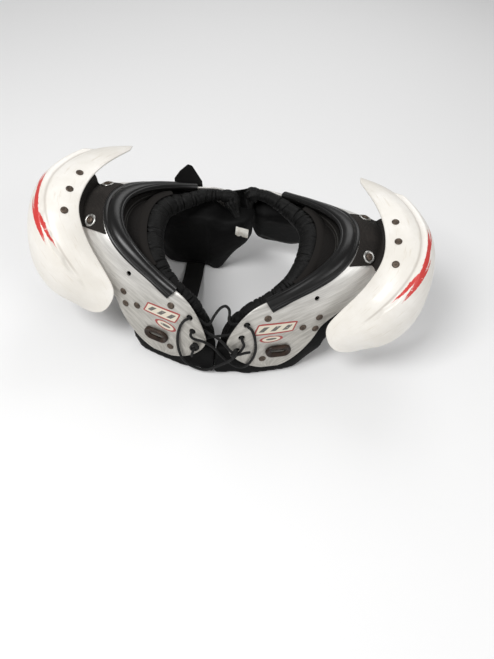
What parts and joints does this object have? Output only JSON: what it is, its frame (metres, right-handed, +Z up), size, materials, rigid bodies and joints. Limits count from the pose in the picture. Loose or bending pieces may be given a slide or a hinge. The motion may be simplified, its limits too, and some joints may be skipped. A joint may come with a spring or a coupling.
{
  "type": "football shoulder pad",
  "caption": "Football shoulder pad: laced plastic arches with black neck trim, foam cushions and neck rolls, and white caps hinged on webbing over the shoulders.",
  "frame": {"origin": "middle of the footprint of everything but the lace, on the surface it stands on", "axes": "+X to the wearer's left, +Y to the wearer's back, +Z up"},
  "size_m": [0.5778, 0.3195, 0.2137],
  "materials": {
    "plate": "brushed silver white plastic",
    "shell": "warm white, satin",
    "trim": "glossy black vinyl",
    "webbing": "black woven webbing",
    "cloth": "black nylon",
    "mesh": "black spacer mesh",
    "nickel": "worn nickel",
    "bronze": "dark bronze",
    "bezel": "dark brown, moulded",
    "lace": "black braided cord",
    "tag": "blank white tape"
  },
  "bodies": {
    "root": {"left_shoulder_arch": "plate", "left_neck_trim": "trim", "left_hinge_web": "webbing", "left_front_washer": "nickel", "left_front_rivet": "bronze", "left_rear_washer": "nickel", "left_rear_rivet": "bronze", "left_shoulder_cap": "shell", "left_cap_rivet_1": "bronze", "left_cap_rivet_2": "bronze", "left_cap_rivet_3": "bronze", "left_plate_rivet_1": "bronze", "left_plate_rivet_2": "bronze", "left_plate_rivet_3": "bronze", "left_plate_rivet_4": "bronze", "left_plate_rivet_5": "bronze", "left_belt_bezel": "bezel", "left_front_cushion": "cloth", "left_back_cushion": "cloth", "left_neck_roll": "cloth", "left_shoulder_pad": "mesh", "right_shoulder_arch": "plate", "right_neck_trim": "trim", "right_hinge_web": "webbing", "right_front_washer": "nickel", "right_front_rivet": "bronze", "right_rear_washer": "nickel", "right_rear_rivet": "bronze", "right_shoulder_cap": "shell", "right_cap_rivet_1": "bronze", "right_cap_rivet_2": "bronze", "right_cap_rivet_3": "bronze", "right_plate_rivet_1": "bronze", "right_plate_rivet_2": "bronze", "right_plate_rivet_3": "bronze", "right_plate_rivet_4": "bronze", "right_plate_rivet_5": "bronze", "right_belt_bezel": "bezel", "right_front_cushion": "cloth", "right_back_cushion": "cloth", "right_neck_roll": "cloth", "right_shoulder_pad": "mesh", "lace": "lace", "right_lace_knot": "lace", "left_lace_knot": "lace", "inner_strap": "webbing", "back_strap": "webbing", "back_bridge": "webbing", "size_tag": "tag"}
  },
  "joints": []
}
